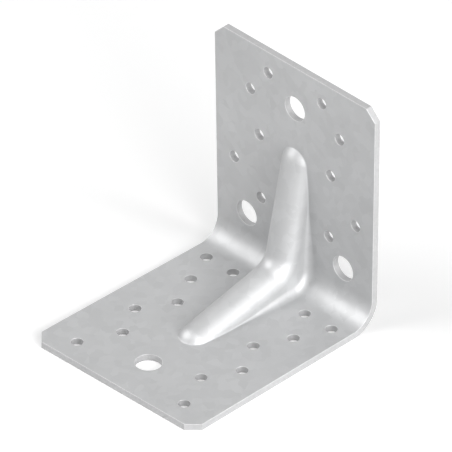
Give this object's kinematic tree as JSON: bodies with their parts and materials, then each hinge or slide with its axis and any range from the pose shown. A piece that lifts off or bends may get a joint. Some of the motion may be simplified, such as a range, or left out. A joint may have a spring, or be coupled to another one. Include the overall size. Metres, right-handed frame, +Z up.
{
  "type": "angle bracket",
  "caption": "Pressed steel angle bracket with equal legs, a raised stiffening rib across the bend, and nail and bolt holes in both legs.",
  "frame": {"origin": "centre of the footprint on the underside of the base leg", "axes": "+X along the bend, +Y out of the wall leg's back face, +Z up the wall leg; the base leg's free end points to -Y"},
  "size_m": [0.09, 0.105, 0.105],
  "materials": {
    "galvanised_steel": "hot-dip galvanised, satin"
  },
  "bodies": {
    "root": {"angle_bracket": "galvanised_steel"}
  },
  "joints": []
}
